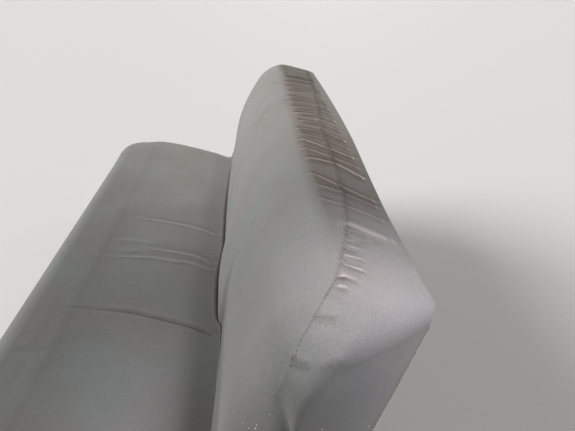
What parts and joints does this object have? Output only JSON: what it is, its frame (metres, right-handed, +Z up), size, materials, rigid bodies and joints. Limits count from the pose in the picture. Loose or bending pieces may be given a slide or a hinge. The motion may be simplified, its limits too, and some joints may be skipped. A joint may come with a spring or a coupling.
{
  "type": "car bench seat",
  "caption": "Full-width front bench seat with a fixed backrest under a stretched dark cloth cover, on a channel frame with zigzag springs, sliding fore and aft on latched floor rails.",
  "frame": {"origin": "on the floor under the middle of the whole seat, with the slide at its middle", "axes": "+X towards the driver's side along the seat, -Y forward, +Z up"},
  "size_m": [1.4904, 0.752, 0.645],
  "materials": {
    "cover_cloth": "dark stretch cover cloth, matt with a slight sheen",
    "deck_cloth": "plain woven jute",
    "frame_paint": "satin black paint on pressed steel",
    "rail_steel": "dull zinc-plated pressed steel",
    "spring_wire": "oiled dark spring wire",
    "knob_plastic": "black moulded knob"
  },
  "bodies": {
    "floor_tracks": {"lower_rail_left": "rail_steel", "lower_rail_right": "rail_steel", "foot_front_left": "frame_paint", "foot_front_right": "frame_paint", "foot_rear_left": "frame_paint", "foot_rear_right": "frame_paint"},
    "seat": {"upper_rail_left": "rail_steel", "upper_rail_right": "rail_steel", "latch_pawl_left": "rail_steel", "latch_pawl_right": "rail_steel", "latch_rod": "rail_steel", "release_lever": "rail_steel", "lever_knob": "knob_plastic", "frame_front_rail": "frame_paint", "frame_rear_rail": "frame_paint", "frame_end_left": "frame_paint", "frame_end_right": "frame_paint", "frame_cross_left": "frame_paint", "frame_cross_middle": "frame_paint", "frame_cross_right": "frame_paint", "cushion_springs": "spring_wire", "tie_wires": "spring_wire", "deck_sheet": "deck_cloth", "seat_cushion": "cover_cloth", "backrest": "cover_cloth", "back_rail": "frame_paint", "back_bracket_1": "frame_paint", "back_bracket_2": "frame_paint", "back_bracket_3": "frame_paint", "back_bracket_4": "frame_paint"}
  },
  "joints": [
    {"name": "seat_slide", "type": "slide", "parent": "floor_tracks", "child": "seat", "axis": [0, -1, 0], "range_m": [-0.0508, 0.0635]}
  ]
}
